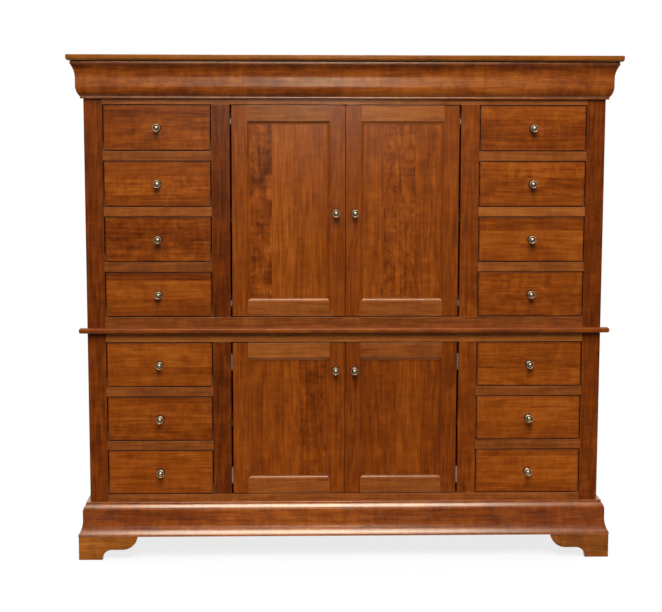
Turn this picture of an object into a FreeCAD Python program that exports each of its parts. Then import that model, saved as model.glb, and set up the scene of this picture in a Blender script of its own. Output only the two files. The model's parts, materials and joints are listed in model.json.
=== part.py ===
import FreeCAD, Part
import math
import os

Vector = FreeCAD.Vector

# Driving dimensions in millimetres.
# The part stands on z = 0, its front faces -y, x = 0 is its middle, and the left side is -x.

# Face frames and openings
stile_width = 59.0
rail_height = 30.0
frame_thickness = 20.0
drawer_opening_width = 344.0
drawer_opening_height = 148.0
door_opening_width = 740.0
upper_rows = 4
lower_rows = 3

# Case boards
case_depth = 540.0
board_thickness = 19.0
back_thickness = 6.0
back_rabbet = 10.0
floor_lip = 15.0
ceiling_lip = 12.0
lower_bottom_rail = 23.0
upper_top_rail = 17.5

# Top board, and waist board with a strip along its front
top_thickness = 18.0
top_overhang = 47.5
top_lower_radius = 9.0
top_upper_radius = 2.5
waist_thickness = 16.0
waist_overhang = 24.5
waist_lower_radius = 6.5
waist_upper_radius = 4.5

# Crown moulding, from its lower bead up to the fillet under the top board
crown_bead_height = 6.5
crown_swell_height = 33.5
crown_belly_height = 24.0
crown_cove_height = 42.0
crown_fillet_height = 13.0
crown_bead_projection = 9.5
crown_belly_projection = 22.3
crown_fillet_projection = 36.2
crown_quirk = 1.5

# Base moulding, from its lip up to the cap
base_lip_height = 8.5
base_flare_height = 44.0
base_belly_height = 27.5
base_shoulder_height = 25.5
base_cap_height = 4.5
base_lip_projection = 37.0
base_belly_projection = 23.2
base_quirk_projection = 11.5
base_cap_projection = 13.5

# Bracket feet
foot_height = 76.0
foot_thickness = 22.0
foot_inset = 0.8
foot_pad_length = 77.0
foot_heel_height = 3.0
foot_cove_radius = 30.0
foot_flat_length = 35.0
foot_lobe_radius = 50.0
foot_block_size = 60.0
foot_block_lift = 6.0

# Drawers
drawer_gap = 3.0
drawer_front_thickness = 20.0
drawer_side_thickness = 12.0
drawer_side_drop = 6.0
drawer_bottom_thickness = 6.0
drawer_bottom_height = 10.0
drawer_groove_depth = 6.0
drawer_rear_gap = 22.0
dovetail_count = 3
dovetail_lap = 7.0
dovetail_slope = 7.0
dovetail_space = 18.0
groove_margin = 3.0

# Drawer runners
runner_clearance = 0.3
guide_clearance = 0.5
stop_clearance = 0.5
guide_height = 25.0

# Doors
door_gap = 3.0
door_thickness = 20.0
door_member_width = 58.0
sticking_width = 9.0
sticking_depth = 6.0
sticking_lip = 1.5
tenon_length = 9.0
door_panel_thickness = 8.0
door_panel_play = 1.0
upper_knob_rise = 336.5
lower_knob_drop = 93.5

# Butt hinges; the tall doors show short barrels, the low doors longer ones with larger tips
upper_hinge_barrel = 14.0
upper_hinge_tip = 1.5
upper_hinge_rise = 43.0
upper_hinge_drop = 50.0
lower_hinge_barrel = 40.0
lower_hinge_tip = 6.5
lower_hinge_rise = 61.0
lower_hinge_drop = 62.0
hinge_leaf_height = 50.0
hinge_leaf_width = 17.0
hinge_leaf_thickness = 1.4
hinge_barrel_radius = 2.7
hinge_running_gap = 0.3
hinge_pin_radius = 1.2
hinge_pin_clearance = 0.05
hinge_tip_radius = 2.4
hinge_tip_neck = 1.0

# Knobs
knob_plate_radius = 13.5
knob_plate_thickness = 2.0
knob_plate_rise = 2.6
knob_neck_radius = 4.8
knob_neck_length = 9.9
knob_flare_length = 9.5
knob_head_radius = 12.4
knob_rim_width = 1.6
knob_rim_rise = 3.3
knob_groove_depth = 2.7
knob_boss_radius = 6.4
knob_boss_height = 3.4

# Catches, shelves and shelf cleats
catch_width = 40.0
catch_depth = 16.0
catch_height = 26.0
catch_gap = 0.3
catch_offset = 12.0
strike_width = 26.0
strike_height = 10.0
strike_thickness = 1.2
strike_drop = 1.5
shelf_thickness = 19.0
shelf_setback = 30.0
shelf_side_gap = 1.0
upper_shelf_rise = 330.0
lower_shelf_rise = 240.0
cleat_width = 18.0
cleat_height = 25.0
cleat_setback = 20.0

# Plan
hinge_gap = 2 * (hinge_barrel_radius + hinge_running_gap)
half_door_opening = door_opening_width / 2
half_width = half_door_opening + stile_width + drawer_opening_width + stile_width
front = (top_overhang - case_depth) / 2
back = front + case_depth
frame_back = front + frame_thickness
inside_back = back - back_thickness
inside_half_width = half_width - board_thickness
drawer_outer_edge = -(half_width - stile_width)
drawer_inner_edge = drawer_outer_edge + drawer_opening_width

# Heights
crown_height = (crown_bead_height + crown_swell_height + crown_belly_height + crown_cove_height
                + crown_fillet_height)
base_height = (base_lip_height + base_flare_height + base_belly_height + base_shoulder_height
               + base_cap_height)


def opening_height(rows):
    return rows * drawer_opening_height + (rows - 1) * rail_height


base_top = foot_height + base_height
lower_bottom = base_top + lower_bottom_rail
lower_top = lower_bottom + opening_height(lower_rows)
waist_bottom = lower_top + ceiling_lip + board_thickness
waist_top = waist_bottom + waist_thickness
upper_bottom = waist_top + board_thickness + floor_lip
upper_top = upper_bottom + opening_height(upper_rows)
crown_bottom = upper_top + upper_top_rail
crown_top = crown_bottom + crown_height


def board(x0, x1, y0, y1, z0, z1):
    return Part.makeBox(x1 - x0, y1 - y0, z1 - z0, Vector(x0, y0, z0))


def mirrored(solid):
    return solid.mirror(Vector(0, 0, 0), Vector(1, 0, 0))


def with_mirror(solids):
    return solids + [mirrored(solid) for solid in solids]


def save(name, solids):
    Part.makeCompound(solids).exportStep("parts/" + name + ".step")


def bend(straight_end, far_end):
    # Middle of the arc that leaves straight_end along the second axis and runs to far_end.
    across = far_end[0] - straight_end[0]
    along = far_end[1] - straight_end[1]
    half_turn = math.atan2(abs(across), abs(along))
    radius = math.hypot(across, along) / (2 * math.sin(half_turn))
    middle_across = math.copysign(radius * (1 - math.cos(half_turn)), across)
    middle_along = math.copysign(radius * math.sin(half_turn), along)
    return (straight_end[0] + middle_across, straight_end[1] + middle_along)


def outline_face(start, steps, place):
    # Face inside a closed outline of points (u, v). A step is an end point, or for an arc
    # a middle point and an end point.
    edges = []
    here = place(*start)
    for step in steps + [(start,)]:
        there = place(*step[-1])
        if len(step) == 2:
            edges.append(Part.Arc(here, place(*step[0]), there).toShape())
        elif (there - here).Length > 0:
            edges.append(Part.LineSegment(here, there).toShape())
        here = there
    return Part.Face(Part.Wire(edges))


def polygon_face(points, place):
    return outline_face(points[0], [(point,) for point in points[1:]], place)


# Mouldings that run along the front and return along both sides

def mitred_run(start, steps, reach):
    # The profile is (projection from the case, height); reach is more than any projection.
    def on_front(projection, height):
        return Vector(-half_width - reach, front - projection, height)

    def on_side(projection, height):
        return Vector(-half_width - projection, front - reach, height)

    front_bar = outline_face(start, steps, on_front).extrude(Vector(2 * (half_width + reach), 0, 0))
    side_bar = outline_face(start, steps, on_side).extrude(Vector(0, case_depth + reach, 0))

    def mitre_block(points):
        face = polygon_face(points, lambda x, y: Vector(x, y, 0))
        return face.extrude(Vector(0, 0, crown_top))

    corner = (-half_width, front)
    far_corner = (-half_width - reach, front - reach)
    front_block = mitre_block([corner, (half_width, front), (half_width + reach, front - reach), far_corner])
    side_block = mitre_block([corner, (-half_width, back), (-half_width - reach, back), far_corner])
    front_length = front_bar.common(front_block).Solids
    side_return = side_bar.common(side_block).Solids
    return front_length + with_mirror(side_return)


def crown_moulding():
    swell_start = crown_bottom + crown_bead_height
    belly_start = swell_start + crown_swell_height
    cove_start = belly_start + crown_belly_height
    fillet_start = cove_start + crown_cove_height
    swell_foot = (crown_bead_projection, swell_start)
    belly_foot = (crown_belly_projection, belly_start)
    belly_head = (crown_belly_projection, cove_start)
    cove_head = (crown_fillet_projection - crown_quirk, fillet_start)
    steps = [
        ((crown_bead_projection, crown_bottom),),
        (swell_foot,),
        (bend(belly_foot, swell_foot), belly_foot),
        (belly_head,),
        (bend(belly_head, cove_head), cove_head),
        ((crown_fillet_projection, fillet_start + crown_quirk),),
        ((crown_fillet_projection, crown_top),),
        ((0, crown_top),),
    ]
    return mitred_run((0, crown_bottom), steps, crown_fillet_projection + crown_belly_projection)


def base_moulding():
    flare_start = foot_height + base_lip_height
    belly_start = flare_start + base_flare_height
    shoulder_start = belly_start + base_belly_height
    cap_start = shoulder_start + base_shoulder_height
    flare_foot = (base_lip_projection, flare_start)
    belly_foot = (base_belly_projection, belly_start)
    belly_head = (base_belly_projection, shoulder_start)
    shoulder_head = (base_quirk_projection, cap_start)
    steps = [
        ((base_lip_projection, foot_height),),
        (flare_foot,),
        (bend(belly_foot, flare_foot), belly_foot),
        (belly_head,),
        (bend(belly_head, shoulder_head), shoulder_head),
        ((base_cap_projection, cap_start),),
        ((base_cap_projection, base_top),),
        ((0, base_top),),
    ]
    return mitred_run((0, foot_height), steps, base_lip_projection + base_belly_projection)


def rounded_slab(overhang, rear, z0, z1, lower_radius, upper_radius):
    # Board from the front overhang to rear, with a round edge on the front and both ends.
    share = min(1.0, 0.9 * (z1 - z0) / (lower_radius + upper_radius))
    lower = share * lower_radius
    upper = share * upper_radius
    lower_inset = lower * (1 - math.sqrt(0.5))
    upper_inset = upper * (1 - math.sqrt(0.5))
    x_end = half_width + overhang
    y_start = front - overhang

    def rounded(a0, a1):
        # Outline from a0 to a1 with round corners at a0.
        return (a0 + lower, z0), [
            ((a1, z0),),
            ((a1, z1),),
            ((a0 + upper, z1),),
            ((a0 + upper_inset, z1 - upper_inset), (a0, z1 - upper)),
            ((a0, z0 + lower),),
            ((a0 + lower_inset, z0 + lower_inset), (a0 + lower, z0)),
        ]

    start, steps = rounded(y_start, rear)
    across = outline_face(start, steps, lambda y, z: Vector(-x_end, y, z)).extrude(Vector(2 * x_end, 0, 0))
    start, steps = rounded(-x_end, 0)
    half_face = outline_face(start, steps, lambda x, z: Vector(x, y_start, z))
    half = half_face.extrude(Vector(0, rear - y_start, 0))
    return across.common(half.fuse(mirrored(half)).removeSplitter()).Solids


def waist():
    # The strip's ends stand past the sides; the board behind it is flush with the cases.
    between_cases = board(-half_width, half_width, front, back, waist_bottom, waist_top)
    strip = rounded_slab(waist_overhang, front, waist_bottom, waist_top,
                         waist_lower_radius, waist_upper_radius)
    return [between_cases] + strip


# Bracket feet

def foot_outline():
    # Outline of one bracket: distance from the corner, height.
    flat_height = foot_heel_height + foot_cove_radius
    cove_end = foot_pad_length + foot_cove_radius
    lobe_start = cove_end + foot_flat_length
    lobe_rise = foot_height - flat_height
    lobe_run = math.sqrt(foot_lobe_radius ** 2 - (foot_lobe_radius - lobe_rise) ** 2)
    lobe_turn = math.acos(1 - lobe_rise / foot_lobe_radius) / 2
    cove_middle = foot_cove_radius * math.sqrt(0.5)
    lobe_middle = (lobe_start + foot_lobe_radius * math.sin(lobe_turn),
                   flat_height + foot_lobe_radius * (1 - math.cos(lobe_turn)))
    return (0, 0), [
        ((foot_pad_length, 0),),
        ((foot_pad_length, foot_heel_height),),
        ((cove_end - cove_middle, foot_heel_height + cove_middle), (cove_end, flat_height)),
        ((lobe_start, flat_height),),
        (lobe_middle, (lobe_start + lobe_run, foot_height)),
        ((0, foot_height),),
    ]


def bracket_feet():
    start, steps = foot_outline()
    reach = 2 * foot_pad_length + 2 * foot_lobe_radius + foot_flat_length
    x_out = -half_width - base_lip_projection + foot_inset
    y_out = front - base_lip_projection + foot_inset
    x_in = x_out + foot_thickness
    y_in = y_out + foot_thickness
    front_plate = outline_face(start, steps, lambda u, z: Vector(x_out + u, y_out, z))
    side_plate = outline_face(start, steps, lambda u, z: Vector(x_out, y_out + u, z))
    rear_plate = outline_face(start, steps, lambda u, z: Vector(x_out, back - u, z))
    front_mitre = polygon_face([(x_out, y_out), (x_out + reach, y_out), (x_out + reach, y_out + reach)],
                               lambda x, y: Vector(x, y, 0)).extrude(Vector(0, 0, foot_height))
    side_mitre = polygon_face([(x_out, y_out), (x_out, y_out + reach), (x_out + reach, y_out + reach)],
                              lambda x, y: Vector(x, y, 0)).extrude(Vector(0, 0, foot_height))
    front_bracket = front_plate.extrude(Vector(0, foot_thickness, 0)).common(front_mitre).Solids
    side_bracket = side_plate.extrude(Vector(foot_thickness, 0, 0)).common(side_mitre).Solids
    rear_bracket = rear_plate.extrude(Vector(foot_thickness, 0, 0))
    front_block = board(x_in, x_in + foot_block_size, y_in, y_in + foot_block_size,
                        foot_block_lift, foot_height)
    rear_block = board(x_in, x_in + foot_block_size, back - foot_block_size, back, 0, foot_height)
    return with_mirror(front_bracket + side_bracket + [rear_bracket, front_block, rear_block])


# Case boards; each case is given by its bottom, its top and the bottom and top of its openings

def case_sides(bottom, top):
    side = board(-half_width, -inside_half_width, frame_back, back, bottom, top)
    rabbet = board(-inside_half_width - back_rabbet, -inside_half_width, inside_back, back, bottom, top)
    return with_mirror([side.cut(rabbet)])


def case_back(bottom, top):
    reach = inside_half_width + back_rabbet
    return board(-reach, reach, inside_back, back, bottom, top)


def case_decks(openings_bottom, openings_top):
    floor_top = openings_bottom - floor_lip
    ceiling = openings_top + ceiling_lip
    spans = ((floor_top - board_thickness, floor_top), (ceiling, ceiling + board_thickness))
    return [board(-inside_half_width, inside_half_width, frame_back, inside_back, z0, z1) for z0, z1 in spans]


def shelf_cleats(level):
    # Strips on the partitions that carry a shelf.
    start = frame_back + shelf_setback + cleat_setback
    cleat = board(-half_door_opening, -half_door_opening + cleat_width, start, inside_back,
                  level - cleat_height, level)
    return with_mirror([cleat])


def shelf(level):
    reach = half_door_opening - shelf_side_gap
    return board(-reach, reach, frame_back + shelf_setback, inside_back, level, level + shelf_thickness)


def case_partitions(openings_bottom, openings_top):
    partition = board(-half_door_opening - board_thickness, -half_door_opening, frame_back, inside_back,
                      openings_bottom - floor_lip, openings_top + ceiling_lip)
    return with_mirror([partition])


def drawer_row_bottoms(openings_bottom, rows):
    pitch = drawer_opening_height + rail_height
    return [openings_bottom + row * pitch for row in range(rows)]


def face_frame(bottom, top, openings_bottom, openings_top, rows):
    outer_stile = board(-half_width, drawer_outer_edge, front, frame_back, bottom, top)
    inner_stile = board(drawer_inner_edge, -half_door_opening, front, frame_back,
                        openings_bottom, openings_top)
    drawer_rails = [board(drawer_outer_edge, drawer_inner_edge, front, frame_back, z - rail_height, z)
                    for z in drawer_row_bottoms(openings_bottom, rows)[1:]]
    long_rails = [board(drawer_outer_edge, -drawer_outer_edge, front, frame_back, z0, z1)
                  for z0, z1 in ((bottom, openings_bottom), (openings_top, top))]
    return with_mirror([outer_stile, inner_stile] + drawer_rails) + long_rails


def runner(wall, guide_face, ledge_end, opening_bottom):
    # Ledge under the drawer side, guide beside it and stop behind it, cut from one piece of wood.
    ledge_bottom = opening_bottom - floor_lip
    ledge_top = opening_bottom + drawer_gap - runner_clearance
    guide_top = ledge_top + guide_height
    stop_start = inside_back - drawer_rear_gap + stop_clearance
    x0, x1 = sorted((wall, ledge_end))
    piece = board(x0, x1, frame_back, inside_back, ledge_bottom, ledge_top)
    piece = piece.fuse(board(x0, x1, stop_start, inside_back, ledge_top, guide_top))
    x0, x1 = sorted((wall, guide_face))
    piece = piece.fuse(board(x0, x1, frame_back, stop_start, ledge_top, guide_top))
    return piece.removeSplitter()


def drawer_runners(openings_bottom, rows):
    play = drawer_gap - guide_clearance
    ledge = drawer_gap + drawer_side_thickness
    partition_face = -half_door_opening - board_thickness
    pieces = []
    for z in drawer_row_bottoms(openings_bottom, rows):
        pieces.append(runner(-inside_half_width, drawer_outer_edge + play, drawer_outer_edge + ledge, z))
        pieces.append(runner(partition_face, drawer_inner_edge - play, drawer_inner_edge - ledge, z))
    return with_mirror(pieces)


# Drawers

def drawer_tails(x0, x1, bottom, top, face_y, length):
    # Row of dovetails that stand forward of face_y. The groove for the drawer bottom runs into the
    # lowest tail, so the row starts just under that groove and ends as far from the top.
    edge = drawer_bottom_height - groove_margin
    tail_height = (top - bottom - 2 * edge - (dovetail_count - 1) * dovetail_space) / dovetail_count
    spread = length / dovetail_slope
    tails = []
    for row in range(dovetail_count):
        z0 = bottom + edge + row * (tail_height + dovetail_space)
        z1 = z0 + tail_height
        corners = [(face_y, z0), (face_y - length, z0 - spread), (face_y - length, z1 + spread), (face_y, z1)]
        tails.append(polygon_face(corners, lambda y, z: Vector(x0, y, z)).extrude(Vector(x1 - x0, 0, 0)))
    return tails


def drawer(opening_left, opening_bottom):
    left = opening_left + drawer_gap
    right = opening_left + drawer_opening_width - drawer_gap
    bottom = opening_bottom + drawer_gap
    top = opening_bottom + drawer_opening_height - drawer_gap
    side_top = top - drawer_side_drop
    face_y = front + drawer_front_thickness
    rear = inside_back - drawer_rear_gap
    inner_left = left + drawer_side_thickness
    inner_right = right - drawer_side_thickness
    panel_bottom = bottom + drawer_bottom_height
    panel_top = panel_bottom + drawer_bottom_thickness

    panel = board(inner_left - drawer_groove_depth, inner_right + drawer_groove_depth,
                  face_y - drawer_groove_depth, rear, panel_bottom, panel_top)
    back_board = board(inner_left, inner_right, rear - drawer_side_thickness, rear, panel_top, side_top)
    front_board = board(left, right, front, face_y, bottom, top)
    sides = []
    for x0, x1 in ((left, inner_left), (inner_right, right)):
        side = board(x0, x1, face_y, rear, bottom, side_top)
        tails = drawer_tails(x0, x1, bottom, side_top, face_y, drawer_front_thickness - dovetail_lap)
        for tail in tails:
            side = side.fuse(tail)
            front_board = front_board.cut(tail)
        sides.append(side.removeSplitter().cut(panel))
    return [front_board.cut(panel)] + sides + [back_board, panel]


# Knobs

def knob(x, z):
    # Turned about the axis that runs out of the front; the profile is (radius, distance out).
    neck_start = knob_plate_thickness + knob_plate_rise
    neck_end = neck_start + knob_neck_length
    rim_start = neck_end + knob_flare_length
    crest = rim_start + knob_rim_rise
    groove = crest - knob_groove_depth
    boss_edge = (knob_boss_radius, groove)
    boss_tip = (0, groove + knob_boss_height)
    boss_middle = bend(boss_tip[::-1], boss_edge[::-1])[::-1]
    steps = [
        ((knob_plate_radius, 0),),
        ((knob_plate_radius, knob_plate_thickness),),
        ((knob_neck_radius, neck_start),),
        ((knob_neck_radius, neck_end),),
        ((knob_head_radius, rim_start),),
        ((knob_head_radius - knob_rim_width, crest),),
        (boss_edge,),
        (boss_middle, boss_tip),
    ]
    face = outline_face((0, 0), steps, lambda radius, out: Vector(x + radius, front - out, z))
    return face.revolve(Vector(x, front, z), Vector(0, 1, 0), 360)


# Doors and their hardware; the hardware of the right doors mirrors that of the left ones

def door(left, right, openings_bottom, openings_top):
    bottom = openings_bottom + door_gap
    top = openings_top - door_gap
    flat = door_member_width - sticking_width
    sight_left = left + door_member_width
    sight_right = right - door_member_width
    sight_bottom = bottom + door_member_width
    sight_top = top - door_member_width
    groove_front = front + sticking_depth + sticking_lip
    groove_back = groove_front + door_panel_thickness
    groove_reach = sticking_width + tenon_length

    def plate(points):
        face = polygon_face(points, lambda x, z: Vector(x, front, z))
        return face.extrude(Vector(0, door_thickness, 0))

    # Cove along the inner edge: depth behind the front, distance from the outer edge.
    cove_out = (0, flat)
    cove_in = (sticking_depth, door_member_width)
    cove_steps = [(bend(cove_in, cove_out), cove_in),
                  ((sticking_depth, door_member_width + sticking_width),),
                  ((0, door_member_width + sticking_width),)]

    stile = plate([(left, bottom), (left + flat, bottom), (left + flat, bottom + flat),
                   (sight_left, sight_bottom), (sight_left, sight_top), (left + flat, top - flat),
                   (left + flat, top), (left, top)])
    stile_cove = outline_face(cove_out, cove_steps, lambda depth, u: Vector(left + u, front + depth, bottom))
    stile = stile.cut(stile_cove.extrude(Vector(0, 0, top - bottom)))
    stile = stile.cut(board(sight_left - groove_reach, sight_left, groove_front, groove_back, bottom, top))

    rail = plate([(left + flat, bottom), (right - flat, bottom), (right - flat, bottom + flat),
                  (sight_right, sight_bottom), (sight_left, sight_bottom), (left + flat, bottom + flat)])
    tenon_left = left + flat - tenon_length
    tenon_right = right - flat + tenon_length
    rail = rail.fuse(board(tenon_left, tenon_right, groove_front, groove_back, bottom,
                           sight_bottom - groove_reach)).removeSplitter()
    rail_cove = outline_face(cove_out, cove_steps, lambda depth, v: Vector(left, front + depth, bottom + v))
    rail = rail.cut(rail_cove.extrude(Vector(right - left, 0, 0)))
    rail = rail.cut(board(tenon_left, tenon_right, groove_front, groove_back,
                          sight_bottom - groove_reach, sight_bottom))

    play = groove_reach - door_panel_play
    panel = board(sight_left - play, sight_right + play, groove_front, groove_back,
                  sight_bottom - play, sight_top + play)
    middle = Vector((left + right) / 2, 0, (bottom + top) / 2)
    other_stile = stile.mirror(middle, Vector(1, 0, 0))
    other_rail = rail.mirror(middle, Vector(0, 0, 1))
    return [stile, other_stile, rail, other_rail, panel]


def left_hinge(middle, barrel_height, tip_height):
    # Frame leaf with two knuckles, door leaf with one, and the pin that joins them.
    axis_x = -half_door_opening + hinge_gap / 2
    bottom = middle - barrel_height / 2
    top = middle + barrel_height / 2
    knuckle = (barrel_height - 2 * hinge_running_gap) / 3
    lower_end = bottom + knuckle
    upper_start = top - knuckle
    leaf_front = front + hinge_barrel_radius + hinge_running_gap
    bore_radius = hinge_pin_radius + hinge_pin_clearance

    def barrel(radius, z0, z1):
        return Part.makeCylinder(radius, z1 - z0, Vector(axis_x, front, z0))

    def leaf(x0, knuckle_spans):
        # Flat plate behind the barrel, with a curl at each of its knuckles.
        x1 = x0 + hinge_leaf_thickness
        plate = board(x0, x1, leaf_front, front + hinge_leaf_width,
                      middle - hinge_leaf_height / 2, middle + hinge_leaf_height / 2)
        for z0, z1 in knuckle_spans:
            plate = plate.fuse(board(x0, x1, front, leaf_front, z0, z1))
            plate = plate.fuse(barrel(hinge_barrel_radius, z0, z1))
        return plate.cut(barrel(bore_radius, bottom, top)).removeSplitter()

    frame_leaf = leaf(axis_x - hinge_gap / 2, [(bottom, lower_end), (upper_start, top)])
    door_leaf = leaf(axis_x + hinge_gap / 2 - hinge_leaf_thickness,
                     [(lower_end + hinge_running_gap, upper_start - hinge_running_gap)])
    # The pin shows a short neck at each end of the barrel, then a button tip.
    neck_bottom = bottom - hinge_tip_neck
    neck_top = top + hinge_tip_neck
    pin = barrel(hinge_pin_radius, neck_bottom, neck_top)
    pin = pin.fuse(barrel(hinge_tip_radius, neck_bottom - tip_height, neck_bottom))
    pin = pin.fuse(barrel(hinge_tip_radius, neck_top, neck_top + tip_height)).removeSplitter()
    return frame_leaf, door_leaf, pin


def left_strike(openings_top):
    # Plate on the back of the door that the catch holds.
    right = -door_gap / 2 - catch_offset
    rear = front + door_thickness
    top = openings_top - door_gap - strike_drop
    return board(right - strike_width, right, rear, rear + strike_thickness, top - strike_height, top)


def left_catch(openings_top):
    middle = -door_gap / 2 - catch_offset - strike_width / 2
    start = front + max(door_thickness + strike_thickness + catch_gap, frame_thickness)
    ceiling = openings_top + ceiling_lip
    return board(middle - catch_width / 2, middle + catch_width / 2, start, start + catch_depth,
                 ceiling - catch_height, ceiling)


# Write every node
os.makedirs("parts", exist_ok=True)
cases = (
    ("upper", waist_top, crown_top, upper_bottom, upper_top, upper_rows, upper_shelf_rise),
    ("lower", foot_height, waist_bottom, lower_bottom, lower_top, lower_rows, lower_shelf_rise),
)
hinge_sizes = {
    "upper": (upper_hinge_barrel, upper_hinge_tip, upper_hinge_rise, upper_hinge_drop),
    "lower": (lower_hinge_barrel, lower_hinge_tip, lower_hinge_rise, lower_hinge_drop),
}
backs = []
shelves = []
cleats = []
frame_leaves = []
catches = []

for case, bottom, top, openings_bottom, openings_top, rows, shelf_rise in cases:
    shelf_bottom = openings_bottom + shelf_rise
    save(case + "_sides", case_sides(bottom, top))
    save(case + "_partitions", case_partitions(openings_bottom, openings_top))
    save(case + "_face_frame", face_frame(bottom, top, openings_bottom, openings_top, rows))
    save(case + "_decks", case_decks(openings_bottom, openings_top))
    save(case + "_runners", drawer_runners(openings_bottom, rows))
    backs.append(case_back(bottom, top))
    shelves.append(shelf(shelf_bottom))
    cleats.extend(shelf_cleats(shelf_bottom))

    # Drawers are numbered from the top of each case
    for number, z in enumerate(reversed(drawer_row_bottoms(openings_bottom, rows)), 1):
        middle_z = z + drawer_opening_height / 2
        for side, opening_left in (("left", drawer_outer_edge), ("right", -drawer_inner_edge)):
            name = case + "_" + side
            save(name + "_drawer_" + str(number), drawer(opening_left, z))
            middle_x = opening_left + drawer_opening_width / 2
            save(name + "_drawer_knob_" + str(number), [knob(middle_x, middle_z)])

    hinge_edge = half_door_opening - hinge_gap
    left_door = door(-hinge_edge, -door_gap / 2, openings_bottom, openings_top)
    right_door = door(door_gap / 2, hinge_edge, openings_bottom, openings_top)
    hinge_barrel, hinge_tip, hinge_rise, hinge_drop = hinge_sizes[case]
    hinge_middles = (openings_bottom + door_gap + hinge_rise, openings_top - door_gap - hinge_drop)
    hinges = [left_hinge(middle, hinge_barrel, hinge_tip) for middle in hinge_middles]
    door_metal = [hinge[1] for hinge in hinges] + [left_strike(openings_top)]
    knob_x = -door_gap / 2 - door_member_width / 2
    knob_z = openings_bottom + upper_knob_rise if case == "upper" else openings_top - lower_knob_drop
    save(case + "_left_door", left_door)
    save(case + "_right_door", right_door)
    save(case + "_left_door_hardware", door_metal)
    save(case + "_right_door_hardware", [mirrored(piece) for piece in door_metal])
    save(case + "_left_door_knob", [knob(knob_x, knob_z)])
    save(case + "_right_door_knob", [knob(-knob_x, knob_z)])
    frame_leaves.extend(with_mirror([piece for hinge in hinges for piece in (hinge[0], hinge[2])]))
    catches.extend(with_mirror([left_catch(openings_top)]))

save("top_board", rounded_slab(top_overhang, back, crown_top, crown_top + top_thickness,
                               top_lower_radius, top_upper_radius))
save("crown_moulding", crown_moulding())
save("waist_board", waist())
save("base_moulding", base_moulding())
save("bracket_feet", bracket_feet())
save("back_panels", backs)
save("shelves", shelves)
save("shelf_cleats", cleats)
save("hinge_leaves", frame_leaves)
save("door_catches", catches)
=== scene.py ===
import bpy
import bmesh
import json
import math
import random
from mathutils import Matrix, Vector


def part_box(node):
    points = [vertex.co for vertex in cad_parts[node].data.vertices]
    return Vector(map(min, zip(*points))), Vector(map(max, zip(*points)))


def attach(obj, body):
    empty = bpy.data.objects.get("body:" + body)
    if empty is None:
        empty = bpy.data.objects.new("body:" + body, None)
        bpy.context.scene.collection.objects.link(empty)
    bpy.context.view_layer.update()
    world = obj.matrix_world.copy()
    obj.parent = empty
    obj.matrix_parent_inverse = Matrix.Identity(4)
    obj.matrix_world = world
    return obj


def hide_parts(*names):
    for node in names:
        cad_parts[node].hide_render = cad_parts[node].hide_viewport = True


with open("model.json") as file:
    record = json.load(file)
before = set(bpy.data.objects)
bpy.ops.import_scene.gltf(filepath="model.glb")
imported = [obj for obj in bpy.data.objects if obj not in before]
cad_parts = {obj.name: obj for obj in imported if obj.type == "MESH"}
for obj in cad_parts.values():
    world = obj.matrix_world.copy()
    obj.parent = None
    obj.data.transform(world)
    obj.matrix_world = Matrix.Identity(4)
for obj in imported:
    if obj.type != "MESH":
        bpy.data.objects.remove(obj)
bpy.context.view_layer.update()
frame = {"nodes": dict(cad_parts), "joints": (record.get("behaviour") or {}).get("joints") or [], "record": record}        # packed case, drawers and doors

mm = 0.001
micron = 1e-6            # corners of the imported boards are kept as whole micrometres
perMetre = 1e6

# where the case stands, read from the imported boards
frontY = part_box("upper_face_frame")[0].y
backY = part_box("upper_sides")[1].y
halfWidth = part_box("upper_sides")[1].x
bodyOf = {node: body for body, nodes in frame["record"]["behaviour"]["bodies"].items() for node in nodes}


# node helpers
def put(tree, kind, sockets=None, **settings):
    node = tree.nodes.new(kind)
    for name, value in settings.items():
        setattr(node, name, value)
    for key, value in (sockets or {}).items():
        if isinstance(value, bpy.types.NodeSocket):
            tree.links.new(value, node.inputs[key])
        else:
            node.inputs[key].default_value = value
    return node


def calc(tree, operation, first, second=0.0, third=0.0, clamp=False):
    return put(tree, "ShaderNodeMath", {0: first, 1: second, 2: third},
               operation=operation, use_clamp=clamp).outputs[0]


def fromTo(tree, value, low, high, newLow=0.0, newHigh=1.0):
    return put(tree, "ShaderNodeMapRange", {"Value": value, "From Min": low, "From Max": high,
                                            "To Min": newLow, "To Max": newHigh}).outputs[0]


def vectorCalc(tree, operation, first, second=(0, 0, 0), output=0):
    return put(tree, "ShaderNodeVectorMath", {0: first, 1: second}, operation=operation).outputs[output]


def noise(tree, vector, scale=1.0, detail=2.0, roughness=0.5, distortion=0.0):
    return put(tree, "ShaderNodeTexNoise", {"Vector": vector, "Scale": scale, "Detail": detail,
                                            "Roughness": roughness, "Distortion": distortion}).outputs[0]


def blendColour(tree, factor, first, second, mode="MIX"):
    return put(tree, "ShaderNodeMix", {0: factor, 6: first, 7: second}, data_type="RGBA",
               blend_type=mode).outputs[2]


def attribute(tree, name):
    return put(tree, "ShaderNodeAttribute", attribute_name=name)


def newGroup(name, inputs, outputs):
    tree = bpy.data.node_groups.new(name, "ShaderNodeTree")
    for label, kind, value in inputs:
        socket = tree.interface.new_socket(label, in_out="INPUT", socket_type="NodeSocket" + kind)
        if value is not None:
            socket.default_value = value
    for label in outputs:
        tree.interface.new_socket(label, in_out="OUTPUT", socket_type="NodeSocketFloat")
    return tree, tree.nodes.new("NodeGroupInput").outputs, tree.nodes.new("NodeGroupOutput").inputs


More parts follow.
